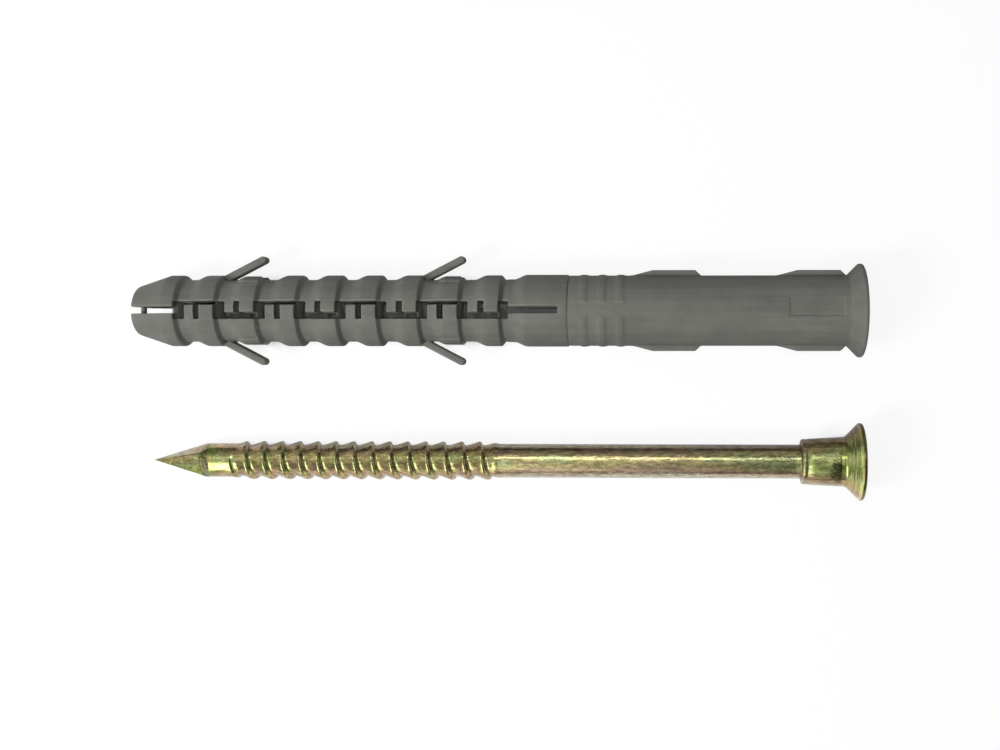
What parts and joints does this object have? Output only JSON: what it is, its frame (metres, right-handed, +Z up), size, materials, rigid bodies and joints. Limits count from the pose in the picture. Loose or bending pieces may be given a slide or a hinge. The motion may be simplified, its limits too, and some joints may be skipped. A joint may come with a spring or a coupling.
{
  "type": "hammer fixing plug",
  "caption": "Slotted nylon expansion sleeve with ringed tip, spring barbs, fins and countersunk flange, lying beside the yellow-plated nail screw that is hammered into it.",
  "frame": {"origin": "middle of the lying set's footprint, on the surface it rests on", "axes": "+X along both pieces towards their heads, +Y from the screw towards the sleeve, +Z up"},
  "size_m": [0.1004, 0.0338, 0.0129],
  "materials": {
    "nylon": "satin moulded grey nylon",
    "plated_steel": "yellow passivated zinc plating"
  },
  "bodies": {
    "root": {"expansion_sleeve": "nylon", "nail_screw": "plated_steel"}
  },
  "joints": []
}
